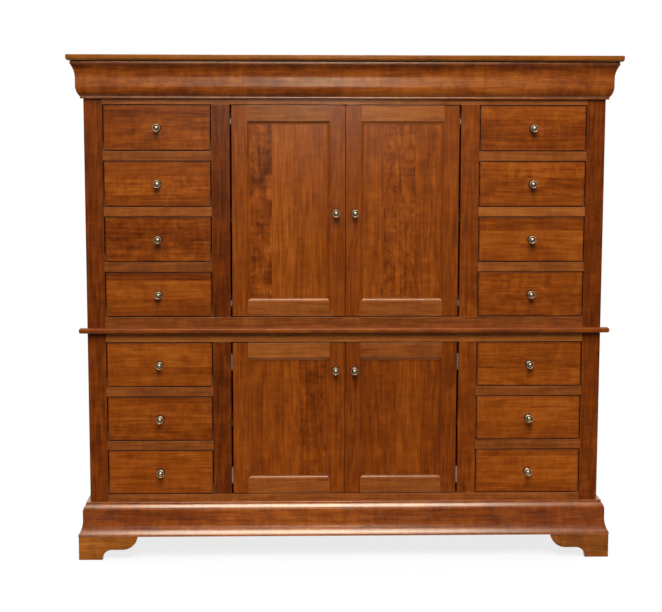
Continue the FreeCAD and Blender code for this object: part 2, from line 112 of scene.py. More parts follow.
# wood figure: silky streaks, growth lines, stain mottle, cross curl, dark flames and pores
figureLook = {           # repeats in a metre along and across the grain, and the noise that draws them
    "streaks": ((7.0, 130.0), {"detail": 5.0, "roughness": 0.70}),
    "broad": ((1.3, 13.0), {"distortion": 0.3}),
    "mottle": ((17.0, 21.0), {"detail": 4.0, "roughness": 0.62, "distortion": 0.6}),
    "curl": ((70.0, 15.0), {}),
    "swirl": ((9.0, 14.0), {"detail": 3.0, "roughness": 0.6, "distortion": 1.4}),
    "pores": ((55.0, 1000.0), {}),
}
figureLines = {"count": 64.0, "waver": 3.0, "flames": 30.0, "flameRange": (-0.5, 1.0), "flameMean": 0.35,
               "poreRange": (0.6, 0.72), "poreDip": 0.6}


def makeWoodFigure():
    tree, given, out = newGroup("woodFigure", [
        ("Grain", "Vector", None), ("Board", "Vector", None), ("Streaks", "Float", 0.3),
        ("Lines", "Float", 0.04), ("Mottle", "Float", 0.3), ("Curl", "Float", 0.15), ("Flame", "Float", 0.1)],
        ["Tone", "Pores", "Height"])
    board = put(tree, "ShaderNodeSeparateXYZ", {0: given["Board"]}).outputs      # tone, mottle, flame

    def figure(name):
        (along, across), settings = figureLook[name]
        return noise(tree, vectorCalc(tree, "MULTIPLY", given["Grain"], (along, across, across)), **settings)

    def share(value, amount, middle=0.5):
        return calc(tree, "MULTIPLY", calc(tree, "SUBTRACT", value, middle), amount)

    streaks = figure("streaks")
    waver = calc(tree, "MULTIPLY", streaks, figureLines["waver"])
    broad = figure("broad")
    lines = calc(tree, "SINE", calc(tree, "MULTIPLY_ADD", broad, figureLines["count"], waver))
    mottle = figure("mottle")
    curl = figure("curl")
    swirl = calc(tree, "SINE", calc(tree, "MULTIPLY", figure("swirl"), figureLines["flames"]))
    flame = fromTo(tree, swirl, *figureLines["flameRange"])
    pores = fromTo(tree, figure("pores"), *figureLines["poreRange"])
    tone = calc(tree, "ADD", board[0], share(streaks, given["Streaks"]))
    tone = calc(tree, "ADD", tone, share(lines, given["Lines"], 0.0))
    tone = calc(tree, "ADD", tone, share(mottle, calc(tree, "MULTIPLY", given["Mottle"], board[1])))
    tone = calc(tree, "ADD", tone, share(curl, calc(tree, "MULTIPLY", given["Curl"], board[1])))
    flameDepth = calc(tree, "MULTIPLY", given["Flame"], board[2])
    tone = calc(tree, "SUBTRACT", tone, share(flame, flameDepth, figureLines["flameMean"]))
    tree.links.new(tone, out["Tone"])
    tree.links.new(pores, out["Pores"])
    dip = calc(tree, "MULTIPLY", pores, figureLines["poreDip"])
    tree.links.new(calc(tree, "SUBTRACT", streaks, dip), out["Height"])
    return tree


finishLook = {"patchRange": (0.2, 0.55), "driftRange": (0.3, 0.7), "coatScale": 240.0}


# edges, in patches: box wood and metal worn paler, the cherry darker on its eased corners, and a painted
# highlight along the arrises of the rails
def makeEdgeRub():
    tree, given, out = newGroup("edgeRub", [("Edge", "Float", 0.0), ("Amount", "Float", 0.5),
                                            ("Patch Scale", "Float", 30.0)], ["Rub"])
    place = put(tree, "ShaderNodeTexCoord").outputs["Object"]
    patches = fromTo(tree, noise(tree, place, given["Patch Scale"], 3.0), *finishLook["patchRange"])
    rub = calc(tree, "MULTIPLY", calc(tree, "MULTIPLY", given["Edge"], patches), given["Amount"])
    tree.links.new(rub, out["Rub"])
    return tree


# hand finish: gloss that drifts over the surface, with the slight unevenness of a rubbed coat
def makeHandFinish():
    tree, given, out = newGroup("handFinish", [("Gloss Low", "Float", 0.3), ("Gloss High", "Float", 0.42),
                                               ("Drift Scale", "Float", 5.0)], ["Roughness", "Height"])
    place = put(tree, "ShaderNodeTexCoord").outputs["Object"]
    drift = noise(tree, place, given["Drift Scale"], 4.0, 0.6)
    gloss = fromTo(tree, drift, *finishLook["driftRange"], given["Gloss Low"], given["Gloss High"])
    tree.links.new(gloss, out["Roughness"])
    tree.links.new(noise(tree, place, finishLook["coatScale"], 1.0), out["Height"])
    return tree


woodFigure = makeWoodFigure()
edgeRub = makeEdgeRub()
handFinish = makeHandFinish()


def useGroup(tree, group, **values):
    sockets = {label.replace("_", " "): value for label, value in values.items()}
    return put(tree, "ShaderNodeGroup", sockets, node_tree=group).outputs


def startMaterial(name):
    material = bpy.data.materials.new(name)
    material.use_nodes = True
    tree = material.node_tree
    return material, tree, tree.nodes["Principled BSDF"]


cherryLook = {
    "name": "stainedCherry",
    "stain": [(0.0, (0.045, 0.0075, 0.0012)), (0.2, (0.105, 0.0185, 0.0020)), (0.35, (0.175, 0.034, 0.0030)),
              (0.5, (0.262, 0.057, 0.0046)), (0.65, (0.350, 0.088, 0.0085)), (0.8, (0.440, 0.130, 0.017)),
              (1.0, (0.53, 0.19, 0.035))],
    "pore": (0.035, 0.007, 0.0015), "poreDepth": 0.35, "rubbed": (0.075, 0.016, 0.0022), "rub": 0.6,
    "edgeDull": 0.4, "gloss": (0.18, 0.25), "shine": 0.37, "amber": (1.0, 0.84, 0.62), "grainRelief": 0.10,
    "streaks": 0.62, "lines": 0.035, "mottle": 0.55, "curl": 0.24, "flame": 0.15,
}
feetLook = dict(cherryLook, name="ochreCherry", shine=0.12, stain=[
    (0.0, (0.06, 0.016, 0.002)), (0.3, (0.17, 0.046, 0.0045)), (0.5, (0.29, 0.085, 0.009)),
    (0.7, (0.39, 0.125, 0.016)), (1.0, (0.52, 0.20, 0.035))])
# on the rails the pale edge colour is a painted highlight along the eased arrises
railLook = dict(cherryLook, name="railCherry", rubbed=(0.40, 0.17, 0.075), edgeDull=0.05, stain=[
    (0.0, (0.06, 0.014, 0.003)), (0.3, (0.172, 0.043, 0.0080)), (0.5, (0.291, 0.079, 0.0135)),
    (0.7, (0.39, 0.120, 0.021)), (1.0, (0.53, 0.19, 0.042))])
mouldingLook = dict(cherryLook, name="polishedCherry", shine=1.0, amber=(1.0, 0.86, 0.62))
baseWoodLook = dict(mouldingLook, name="baseCherry", shine=0.85, amber=(1.0, 0.88, 0.68))
topLook = dict(feetLook, name="topCherry", shine=0.35)
satinLook = dict(cherryLook, name="satinCherry", gloss=(0.30, 0.40), shine=0.25)
boxWoodLook = {
    "name": "sealedBoxWood",
    "stain": [(0.0, (0.30, 0.17, 0.075)), (0.4, (0.47, 0.30, 0.15)), (0.7, (0.58, 0.40, 0.22)),
              (1.0, (0.68, 0.51, 0.31))],
    "pore": (0.25, 0.14, 0.06), "poreDepth": 0.25, "rubbed": (0.66, 0.5, 0.32), "rub": 0.3, "edgeDull": 0.0,
    "gloss": (0.42, 0.55), "shine": 0.35, "amber": (1.0, 1.0, 1.0), "grainRelief": 0.12,
    "streaks": 0.45, "lines": 0.06, "mottle": 0.25, "curl": 0.1, "flame": 0.08,
}
backLook = dict(
    boxWoodLook, name="backVeneer", pore=(0.05, 0.016, 0.006), poreDepth=0.3, rubbed=(0.35, 0.17, 0.08),
    gloss=(0.48, 0.62), shine=0.3, streaks=0.4, lines=0.08, mottle=0.3, flame=0.1,
    stain=[(0.0, (0.09, 0.026, 0.008)), (0.35, (0.17, 0.055, 0.016)), (0.7, (0.27, 0.10, 0.032)),
           (1.0, (0.36, 0.15, 0.055))])
woodFinish = {"poreDull": 0.12, "coatRelief": 0.25, "reliefDepth": 0.0006}


def makeWood(look):
    material, tree, surface = startMaterial(look["name"])
    figure = useGroup(tree, woodFigure, Grain=attribute(tree, "grain").outputs["Vector"],
                      Board=attribute(tree, "board").outputs["Vector"], Streaks=look["streaks"],
                      Lines=look["lines"], Mottle=look["mottle"], Curl=look["curl"], Flame=look["flame"])
    ramp = put(tree, "ShaderNodeValToRGB", {0: figure["Tone"]})
    stops = ramp.color_ramp.elements
    while len(stops) < len(look["stain"]):
        stops.new(0.5)
    for stop, (position, colour) in zip(stops, look["stain"]):
        stop.position = position
        stop.color = (*colour, 1.0)
    pored = blendColour(tree, calc(tree, "MULTIPLY", figure["Pores"], look["poreDepth"]), ramp.outputs[0],
                        (*look["pore"], 1.0))
    # edge colour: wear on box wood, darker cherry arrises, a painted highlight on the rails
    rub = useGroup(tree, edgeRub, Edge=attribute(tree, "edge").outputs["Fac"], Amount=look["rub"])["Rub"]
    tree.links.new(blendColour(tree, rub, pored, (*look["rubbed"], 1.0)), surface.inputs["Base Color"])
    finish = useGroup(tree, handFinish, Gloss_Low=look["gloss"][0], Gloss_High=look["gloss"][1])
    poreDull = calc(tree, "MULTIPLY", figure["Pores"], woodFinish["poreDull"])
    dull = calc(tree, "MULTIPLY_ADD", rub, look["edgeDull"], poreDull)
    tree.links.new(calc(tree, "ADD", finish["Roughness"], dull), surface.inputs["Roughness"])
    relief = calc(tree, "MULTIPLY_ADD", finish["Height"], woodFinish["coatRelief"], figure["Height"])
    bump = put(tree, "ShaderNodeBump", {"Strength": look["grainRelief"], "Height": relief,
                                        "Distance": woodFinish["reliefDepth"]})
    tree.links.new(bump.outputs[0], surface.inputs["Normal"])
    surface.inputs["Specular IOR Level"].default_value = look["shine"]
    surface.inputs["Specular Tint"].default_value = (*look["amber"], 1.0)
    return material


pewterLook = {"name": "antiquePewter", "metal": (0.66, 0.48, 0.31), "rubbed": (0.78, 0.64, 0.46),
              "tarnish": (0.045, 0.024, 0.012), "gloss": (0.38, 0.48), "rub": 0.8}
hingeLook = {"name": "agedHingeMetal", "metal": (0.56, 0.43, 0.36), "rubbed": (0.66, 0.54, 0.46),
             "tarnish": (0.04, 0.026, 0.018), "gloss": (0.42, 0.52), "rub": 0.5}
metalFinish = {"cloudScale": 180.0, "cloudRange": (0.5, 0.75), "cloudTarnish": 0.35, "wearScale": 140.0,
               "glossScale": 90.0, "tarnishDull": 0.22, "relief": 0.15, "reliefDepth": 0.0003}


def makeMetal(look):
    material, tree, surface = startMaterial(look["name"])
    place = put(tree, "ShaderNodeTexCoord").outputs["Object"]
    clouds = noise(tree, place, metalFinish["cloudScale"], 4.0, 0.6)
    worn = useGroup(tree, edgeRub, Edge=attribute(tree, "edge").outputs["Fac"], Amount=look["rub"],
                    Patch_Scale=metalFinish["wearScale"])["Rub"]
    # recess: patina in hollows, and painted shade on knob plates, knob necks and hinge leaves
    recess = attribute(tree, "recess").outputs["Fac"]
    cloudy = fromTo(tree, clouds, *metalFinish["cloudRange"], 0.0, metalFinish["cloudTarnish"])
    dull = calc(tree, "ADD", recess, cloudy, clamp=True)
    colour = blendColour(tree, worn, (*look["metal"], 1.0), (*look["rubbed"], 1.0))
    tree.links.new(blendColour(tree, dull, colour, (*look["tarnish"], 1.0)), surface.inputs["Base Color"])
    finish = useGroup(tree, handFinish, Gloss_Low=look["gloss"][0], Gloss_High=look["gloss"][1],
                      Drift_Scale=metalFinish["glossScale"])
    rough = calc(tree, "MULTIPLY_ADD", dull, metalFinish["tarnishDull"], finish["Roughness"])
    tree.links.new(rough, surface.inputs["Roughness"])
    bump = put(tree, "ShaderNodeBump", {"Strength": metalFinish["relief"], "Height": clouds,
                                        "Distance": metalFinish["reliefDepth"]})
    tree.links.new(bump.outputs[0], surface.inputs["Normal"])
    surface.inputs["Metallic"].default_value = 1.0
    return material


cherry = makeWood(cherryLook)
feetCherry = makeWood(feetLook)
railCherry = makeWood(railLook)
mouldingCherry = makeWood(mouldingLook)
baseCherry = makeWood(baseWoodLook)
topCherry = makeWood(topLook)
satinCherry = makeWood(satinLook)
boxWood = makeWood(boxWoodLook)
backVeneer = makeWood(backLook)
pewter = makeMetal(pewterLook)
hingeMetal = makeMetal(hingeLook)
print("materials made")


# boards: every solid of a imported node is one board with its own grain
boardRules = {"flatAngle": 0.4, "cornerAngle": 50.0, "sharpAngle": 40.0, "mostCutCorners": 14,
              "grainRange": 40, "near": 1e-5, "skin": 1e-4, "facing": -0.99, "shadeReach": 0.6,
              "frontSteps": 3, "easeSteps": 2, "stripWidths": (0.7, 1.3)}


def packedCorner(place):
    return tuple(round(c * perMetre) for c in place)


def boardsOf(node):
    mesh = frame["nodes"][node].data
    spot = [packedCorner(vertex.co) for vertex in mesh.vertices]
    boards, faces, unmatched = [], [], {}
    for polygon in mesh.polygons:
        corners = [spot[i] for i in polygon.vertices]
        if len(set(corners)) < 3:
            continue
        faces.append(corners)
        for a, b in zip(corners, corners[1:] + corners[:1]):
            if unmatched.get((b, a)):
                unmatched[b, a] -= 1
                if not unmatched[b, a]:
                    del unmatched[b, a]
            else:
                unmatched[a, b] = unmatched.get((a, b), 0) + 1
        if not unmatched:                      # the shell has closed, so the next face starts another board
            boards.append(newBoard(faces))
            faces = []
    return boards


def newBoard(faces):
    points = [Vector(corner) * micron for face in faces for corner in face]
    low = Vector([min(p[i] for p in points) for i in range(3)])
    high = Vector([max(p[i] for p in points) for i in range(3)])
    return {"faces": faces, "low": low, "high": high, "grain": None, "strips": [(1.0, 0.5, 0.5, 0.0)],
            "drift": [], "stainAt": None}


def moveInnerEdge(board, edge, shift):
    # corners no further out than edge move outwards by shift, both in metres from the middle of the case
    limit = round((edge + boardRules["near"]) * perMetre)
    step = round(shift * perMetre)
    board["faces"] = [[(x if abs(x) > limit else x + (step if x > 0 else -step), y, z) for x, y, z in face]
                      for face in board["faces"]]


# strips are glued side by side: (share of the width, tone, mottle, flame), from the top or from the left
def plainStrip(tone, mottle=0.5, flame=0.0):
    return [(1.0, tone, mottle, flame)]


def gluedStrips(seed, look):
    rng = random.Random(seed)
    widths, spread = boardRules["stripWidths"], look["spread"]
    return [(rng.uniform(*widths), look["tone"] + rng.uniform(-spread, spread), look["mottle"], 0.0)
            for strip in range(look["strips"])]


def grainAxes(board):
    size = board["high"] - board["low"]
    order = sorted(range(3), key=lambda axis: -size[axis])
    if board["grain"] is not None:
        order.sort(key=lambda axis: axis != board["grain"])
    return order


def stripEnds(board, axis):
    low, high = board["low"][axis], board["high"][axis]
    total = sum(strip[0] for strip in board["strips"])
    reached, ends = 0.0, []
    for strip in board["strips"]:
        reached += strip[0] / total
        ends.append(high - reached * (high - low) if axis == 2 else low + reached * (high - low))
    return ends


def smoothPiece(name, bm, material):
    mesh = bpy.data.meshes.new(name)
    bm.to_mesh(mesh)
    bm.free()
    mesh.polygons.foreach_set("use_smooth", [True] * len(mesh.polygons))
    mesh.set_sharp_from_angle(angle=math.radians(boardRules["sharpAngle"]))
    mesh.materials.append(material)
    piece = bpy.data.objects.new(name, mesh)
    bpy.context.scene.collection.objects.link(piece)
    return piece


def settle(piece, node):
    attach(piece, bodyOf[node])
    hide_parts(node)


def between(stops, place):
    # straight lines through (place, value) stops, level beyond the ends
    for (start, low), (end, high) in zip(stops, stops[1:]):
        if place <= end:
            return low + (high - low) * max(0.0, (place - start) / (end - start))
    return stops[-1][1]


def roundEdges(bm, edges, radius, segments, edgeMark):
    made = bmesh.ops.bevel(bm, geom=edges, offset=radius, segments=segments, profile=0.5,
                           affect="EDGES", clamp_overlap=True)
    for face in made["faces"]:
        for loop in face.loops:
            loop[edgeMark] = 1.0


def boardPiece(name, boards, material, ease=0.0, front=None, rimShade=None):
    # ease: radius in mm on every arris; front: (y, radius in mm) for the arrises of the show face;
    # rimShade: (width in mm, drop in tone) of the painted shade round the edges of the show face, next to the
    # gaps
    bm = bmesh.new()
    number = bm.verts.layers.int.new("boardNumber")
    for index, board in enumerate(boards):
        known = {}
        for face in board["faces"]:
            for corner in face:
                if corner not in known:
                    known[corner] = bm.verts.new(Vector(corner) * micron)
                    known[corner][number] = index
            bm.faces.new([known[corner] for corner in face])
    bmesh.ops.dissolve_limit(bm, angle_limit=math.radians(boardRules["flatAngle"]), verts=bm.verts,
                             edges=bm.edges)
    bmesh.ops.recalc_face_normals(bm, faces=bm.faces)
    edgeMark = bm.loops.layers.float.new("edge")

    def along(edge, axis, place):
        return all(abs(v.co[axis] - place) < boardRules["near"] for v in edge.verts)

    if front:
        show = []
        for edge in bm.edges:
            rim = boards[edge.verts[0][number]]["rim"]
            if along(edge, 1, front[0]) and any(along(edge, i, end[i]) for i in (0, 2) for end in rim):
                show.append(edge)
        roundEdges(bm, show, front[1] * mm, boardRules["frontSteps"], edgeMark)
    if ease:
        corner = math.radians(boardRules["cornerAngle"])
        sharp = [e for e in bm.edges if len(e.link_faces) == 2 and e.calc_face_angle() > corner]
        roundEdges(bm, sharp, ease * mm, boardRules["easeSteps"], edgeMark)
    axes = [grainAxes(board) for board in boards]
    ends = [stripEnds(board, axes[index][1]) for index, board in enumerate(boards)]
    for index, board in enumerate(boards):
        cuts = [(axes[index][1], end) for end in ends[index][:-1]]
        cuts += [(0, stop[0] * mm) for stop in board["drift"]]
        for axis, end in cuts:
            across = Vector([float(i == axis) for i in range(3)])
            faces = [f for f in bm.faces if f.verts[0][number] == index
                     and len(f.verts) <= boardRules["mostCutCorners"]]
            near = {*faces, *(e for f in faces for e in f.edges), *(v for f in faces for v in f.verts)}
            bmesh.ops.bisect_plane(bm, geom=list(near), dist=micron, plane_co=across * end, plane_no=across)
    # painted shade: a darker band round the show face widens the dark lines of the gaps
    if rimShade:
        skin = front[0] + boardRules["skin"]
        show = [f for f in bm.faces if f.normal.y < boardRules["facing"] and f.calc_center_median().y < skin]
        bmesh.ops.inset_region(bm, faces=show, thickness=rimShade[0] * mm, use_even_offset=True)
    grain = bm.loops.layers.float_vector.new("grain")
    look = bm.loops.layers.float_vector.new("board")
    rng = random.Random(name)
    far = boardRules["grainRange"]
    shifts = [[Vector([rng.uniform(0, far) for i in range(3)]) for strip in board["strips"]]
              for board in boards]

    def byRim(point, rim):
        reach = boardRules["shadeReach"] * rimShade[0] * mm
        return any(abs(point[i] - end[i]) < reach for i in (0, 2) for end in rim)

    for face in bm.faces:
        index = face.verts[0][number]
        axis = axes[index][1]
        middle = face.calc_center_median()[axis]
        passed = sum(middle < end if axis == 2 else middle > end for end in ends[index][:-1])
        shift, strip = shifts[index][passed], boards[index]["strips"][passed]
        for loop in face.loops:
            at = loop.vert.co
            loop[grain] = Vector([at[i] for i in axes[index]]) + shift
            loop[look] = Vector(strip[1:])
            # moulding tone drift, with painted shade and painted light by height
            if boards[index]["stainAt"]:
                loop[look].x += boards[index]["stainAt"](at)
            if rimShade and byRim(at, boards[index]["rim"]):
                loop[look].x -= rimShade[1]
    return smoothPiece(name, bm, material)


def flatPiece(node, part, boards, material, slot="cherry_wood", **edges):
    piece = boardPiece(node + part, boards, material, **edges)
    piece.modifiers.new("levelFaces", "WEIGHTED_NORMAL").keep_sharp = True
    settle(piece, node)


# case boards, each with its tone and the axis of its grain
caseLook = {
    "strips": 4, "mottle": 0.5, "spread": 0.04, "ease": 0.8,
    "boards": {"upper_sides": (0.42, 2), "lower_sides": (0.42, 2), "upper_partitions": (0.44, 2),
               "lower_partitions": (0.44, 2), "upper_decks": (0.45, 0), "lower_decks": (0.45, 0),
               "shelves": (0.48, 0)},
}
for node, (tone, grainAxis) in caseLook["boards"].items():
    boards = boardsOf(node)
    for index, board in enumerate(boards):
        board.update(grain=grainAxis, strips=gluedStrips(node + str(index), dict(caseLook, tone=tone)))
    flatPiece(node, "_wood", boards, cherry, ease=caseLook["ease"])

# bracket feet; their corner blocks are cut back so that the pads hide them from the front
footLook = {"tone": {"left": 0.41, "right": 0.29}, "vary": 0.02, "mottle": 0.9, "ease": 0.8, "blockCut": 8.0}
boards = boardsOf("bracket_feet")
for index, board in enumerate(boards):
    low, high = board["low"], board["high"]
    if abs((high.x - low.x) - (high.y - low.y)) < mm:      # a corner block is square
        moveInnerEdge(board, min(abs(low.x), abs(high.x)), footLook["blockCut"] * mm)
    tone = footLook["tone"]["left" if low.x < 0 else "right"]
    board.update(strips=plainStrip(tone + footLook["vary"] * math.sin(2.4 * index), footLook["mottle"]))
flatPiece("bracket_feet", "_wood", boards, feetCherry, ease=footLook["ease"])

# drawer runners and shelf cleats
runnerLook = {"upper_runners": 0.4, "lower_runners": 0.4, "shelf_cleats": 0.5, "vary": 0.08, "ease": 0.5}
for node in ("upper_runners", "lower_runners", "shelf_cleats"):
    boards = boardsOf(node)
    for index, board in enumerate(boards):
        tone = runnerLook[node] + runnerLook["vary"] * math.sin(1.7 * index)
        board.update(grain=1, strips=plainStrip(tone))
    flatPiece(node, "_wood", boards, boxWood, "drawer_box_wood", ease=runnerLook["ease"])

backPanelLook = {"strips": 5, "tone": 0.5, "mottle": 0.6, "spread": 0.03, "ease": 0.5}
boards = boardsOf("back_panels")
for index, board in enumerate(boards):
    board.update(grain=2, strips=gluedStrips("back" + str(index), backPanelLook))
flatPiece("back_panels", "_wood", boards, backVeneer, ease=backPanelLook["ease"])

# face frames: stiles are stained deeper and redder than the rails; drawer rails run from the top
frameLook = {
    "outerStile": {"upper": 0.27, "lower": 0.31}, "innerStile": {"left": 0.23, "right": 0.37},
    "topRail": {"upper": 0.43, "lower": 0.64}, "bottomRail": {"upper": 0.33, "lower": 0.42},
    "drawerRails": {"upper": {"left": (0.34, 0.42, 0.33), "right": (0.41, 0.53, 0.42)},
                    "lower": {"left": (0.37, 0.35), "right": (0.35, 0.33)}},
    "mottle": 0.7, "ease": 0.7, "outerFrom": 0.6,
}


def isStile(board):
    size = board["high"] - board["low"]
    return size.z > size.x


for case in ("upper", "lower"):
    node = case + "_face_frame"
    boards = boardsOf(node)
    stiles = [board for board in boards if isStile(board)]
    rails = sorted((board for board in boards if not isStile(board)), key=lambda board: -board["low"].z)
    for board in stiles:
        middle = (board["high"].x + board["low"].x) / 2
        outer = abs(middle) > frameLook["outerFrom"] * halfWidth
        side = "left" if middle < 0 else "right"
        tone = frameLook["outerStile"][case] if outer else frameLook["innerStile"][side]
        board.update(strips=plainStrip(tone, frameLook["mottle"]))
    rails[0].update(strips=plainStrip(frameLook["topRail"][case], frameLook["mottle"]))
    rails[-1].update(strips=plainStrip(frameLook["bottomRail"][case], frameLook["mottle"]))
    for side, tones in frameLook["drawerRails"][case].items():
        stack = [board for board in rails[1:-1] if (board["low"].x < 0) == (side == "left")]
        for board, tone in zip(stack, tones):
            board.update(strips=plainStrip(tone, frameLook["mottle"]))
    for part, members, wood in (("_stiles", stiles, cherry), ("_rails", rails, railCherry)):
        flatPiece(node, part, members, wood, ease=frameLook["ease"])
print("case boards and face frames made")

# drawers: show front glued up from strips, with eased edges, and a plain dovetailed box behind it
drawerLook = {"edge": 0.8, "rimShade": (5.0, 0.12), "boxTone": 0.55, "boxVary": 0.07, "boxEase": 0.4}
drawerFronts = {
    "upper_left": [
        [(0.10, 0.39, 0.6, 0.0), (0.18, 0.28, 0.7, 0.0), (0.72, 0.395, 0.9, 0.0)],
        [(0.33, 0.43, 0.6, 0.0), (0.42, 0.50, 1.1, 0.4), (0.25, 0.41, 0.8, 0.0)],
        [(0.55, 0.34, 1.0, 0.5), (0.45, 0.39, 1.0, 0.3)],
        [(0.18, 0.31, 0.5, 0.0), (0.42, 0.52, 0.7, 0.0), (0.40, 0.42, 0.7, 0.0)]],
    "upper_right": [
        [(0.30, 0.47, 0.8, 0.0), (0.70, 0.41, 1.0, 0.0)],
        [(0.36, 0.52, 1.3, 0.0), (0.40, 0.42, 0.9, 0.2), (0.24, 0.44, 0.6, 0.0)],
        [(0.30, 0.40, 0.7, 0.0), (0.30, 0.56, 0.6, 0.0), (0.40, 0.49, 0.8, 0.0)],
        [(0.50, 0.45, 1.0, 0.3), (0.50, 0.44, 0.9, 0.0)]],
    "lower_left": [
        [(0.55, 0.53, 0.9, 0.2), (0.20, 0.42, 0.6, 0.0), (0.25, 0.49, 0.6, 0.0)],
        [(0.15, 0.38, 0.5, 0.0), (0.45, 0.47, 0.8, 0.0), (0.40, 0.40, 0.9, 0.0)],
        [(0.50, 0.49, 0.6, 0.0), (0.50, 0.45, 0.6, 0.0)]],
    "lower_right": [
        [(0.40, 0.47, 0.8, 0.0), (0.20, 0.42, 0.7, 0.2), (0.40, 0.51, 0.8, 0.0)],
        [(0.57, 0.53, 0.8, 0.0), (0.43, 0.44, 0.8, 0.0)],
        [(0.15, 0.45, 0.6, 0.0), (0.62, 0.53, 0.8, 0.0), (0.23, 0.41, 0.8, 0.0)]],
}
for group, fronts in drawerFronts.items():
    for row, strips in enumerate(fronts, 1):
        node = group + "_drawer_" + str(row)
        boards = boardsOf(node)
        front = min(boards, key=lambda board: board["low"].y)
        front.update(grain=0, strips=strips, rim=[front["low"], front["high"]])
        rest = [board for board in boards if board is not front]
        for index, board in enumerate(rest):
            tone = drawerLook["boxTone"] + drawerLook["boxVary"] * math.sin(2.9 * index + row)
            board.update(strips=plainStrip(tone))
        flatPiece(node, "_front", [front], cherry, front=(frontY, drawerLook["edge"]),
                  rimShade=drawerLook["rimShade"])
        flatPiece(node, "_box", rest, boxWood, "drawer_box_wood", ease=drawerLook["boxEase"])
print("drawers made")

# doors: mitred sticking on stiles and rails round a flat panel glued up from boards; each meeting edge is
# moved into the gap of its pair by meet
doorEdges = {"rim": 0.8, "ease": 0.35, "meet": 0.8, "panelBack": 5.0}
doorLook = {
    "upper_left": {"stiles": (0.42, 0.40), "rails": (0.38, 0.44), "panel": [
        (0.31, 0.41, 1.8, 0.4), (0.24, 0.53, 0.6, 0.0), (0.22, 0.48, 0.6, 0.0), (0.23, 0.46, 0.5, 0.0)]},
    "upper_right": {"stiles": (0.41, 0.39), "rails": (0.51, 0.42), "panel": [
        (0.29, 0.44, 0.7, 0.1), (0.36, 0.42, 1.0, 0.7), (0.35, 0.44, 0.8, 0.2)]},
    "lower_left": {"stiles": (0.43, 0.40), "rails": (0.52, 0.43), "panel": [
        (0.20, 0.39, 0.7, 0.0), (0.25, 0.43, 0.6, 0.0), (0.17, 0.47, 0.5, 0.0), (0.38, 0.37, 0.9, 0.5)]},
    "lower_right": {"stiles": (0.35, 0.34), "rails": (0.40, 0.38), "panel": [
        (0.45, 0.36, 0.6, 0.2), (0.28, 0.44, 0.5, 0.0), (0.27, 0.36, 0.6, 0.1)]},
}
for group, look in doorLook.items():
    node = group + "_door"
    low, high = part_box(node)
    middle = (low + high) / 2
    inner = min(low, high, key=lambda corner: abs(corner.x))
    gap = abs(inner.x)
    inner.x -= math.copysign(doorEdges["meet"] * mm, inner.x)
    upright, level = [], []
    for board in boardsOf(node):
        moveInnerEdge(board, gap, -doorEdges["meet"] * mm)
        board["rim"] = [low, high]
        if board["low"].y > low.y + doorEdges["panelBack"] * mm:
            board.update(strips=look["panel"], grain=2)
            upright.append(board)
        elif isStile(board):
            board.update(strips=plainStrip(look["stiles"][board["low"].x > middle.x]), grain=2)
            upright.append(board)
        else:
            board.update(strips=plainStrip(look["rails"][board["low"].z < middle.z]), grain=0)
            level.append(board)
    for part, members, wood in (("_wood", upright, cherry), ("_rails", level, railCherry)):
        flatPiece(node, part, members, wood, ease=doorEdges["ease"], front=(frontY, doorEdges["rim"]))
print("doors made")


# mouldings: a profile of (projection, height) in mm, run along the front and mitred back along both sides
def arcPoints(straightEnd, farEnd, steps):
    # arc that leaves straightEnd upright and bends to farEnd, from farEnd back to straightEnd
    across = farEnd[0] - straightEnd[0]
    along = farEnd[1] - straightEnd[1]
    halfTurn = math.atan2(abs(across), abs(along))
    radius = math.hypot(across, along) / (2 * math.sin(halfTurn))
    points = []
    for step in range(steps + 1):
        turn = 2 * halfTurn * (1 - step / steps)
        points.append((straightEnd[0] + math.copysign(radius * (1 - math.cos(turn)), across),
                       straightEnd[1] + math.copysign(radius * math.sin(turn), along)))
    return points


def roundOver(middle, radius, fromDeg, toDeg, steps):
    turns = [math.radians(fromDeg + (toDeg - fromDeg) * step / steps) for step in range(steps + 1)]
    return [(middle[0] + radius * math.cos(t), middle[1] + radius * math.sin(t)) for t in turns]


def runFaces(profile, base, along):
    # closed run of the profile; along gives the two end points for a projection
    ends = [[packedCorner((*along(p * mm)[end], base + h * mm)) for p, h in profile] for end in (0, 1)]
    faces = [ends[0][::-1], ends[1]]
    for i in range(len(profile)):
        j = (i + 1) % len(profile)
        faces.append([ends[0][i], ends[1][i], ends[1][j], ends[0][j]])
    return faces


def mouldingBoards(profile, base, look):
    def stainAt(point):
        height = (point.z - base) / mm
        lengthwise = between(look["drift"], point.x / mm) * between(look["driftAt"], height)
        # tone drift along the length, plus painted shade and painted light by height
        return lengthwise + between(look["hollow"], height)

    runs = [
        (0, lambda p: ((-halfWidth - p, frontY - p), (halfWidth + p, frontY - p))),
        (1, lambda p: ((-halfWidth - p, backY), (-halfWidth - p, frontY - p))),
        (1, lambda p: ((halfWidth + p, frontY - p), (halfWidth + p, backY))),
    ]
    boards = []
    for grainAxis, along in runs:
        board = newBoard(runFaces(profile, base, along))
        board.update(grain=grainAxis, strips=plainStrip(look["tone"], look["mottle"]), stainAt=stainAt)
        boards.append(board)
    boards[0]["drift"] = look["drift"]
    return boards


